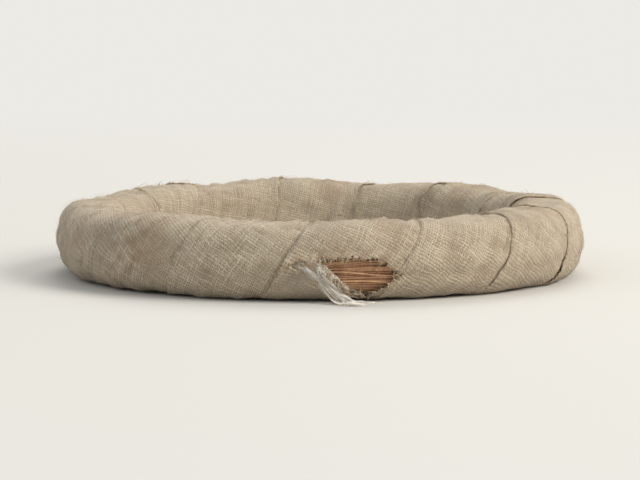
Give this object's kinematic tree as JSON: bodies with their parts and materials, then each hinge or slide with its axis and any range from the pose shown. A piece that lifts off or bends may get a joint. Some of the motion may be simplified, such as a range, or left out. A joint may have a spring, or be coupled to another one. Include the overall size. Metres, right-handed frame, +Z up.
{
  "type": "coil of binding wire wrapped in hessian",
  "caption": "Flat ring coil of soft annealed binding wire, wound round with film and an overlapping strip of hessian, torn open on its outer face.",
  "frame": {"origin": "middle of the bottom face, on the coil's own axis", "axes": "+Z up along the coil's axis, -Y towards the side with the tear"},
  "size_m": [0.4992, 0.4987, 0.0678],
  "materials": {
    "hessian": "coarse open jute weave, dusty",
    "film": "thin crumpled clear film",
    "wire": "black annealed iron wire with brown rust"
  },
  "bodies": {
    "root": {"hessian_wrap": "hessian", "film_wrap": "film", "wire_coil": "wire"}
  },
  "joints": []
}
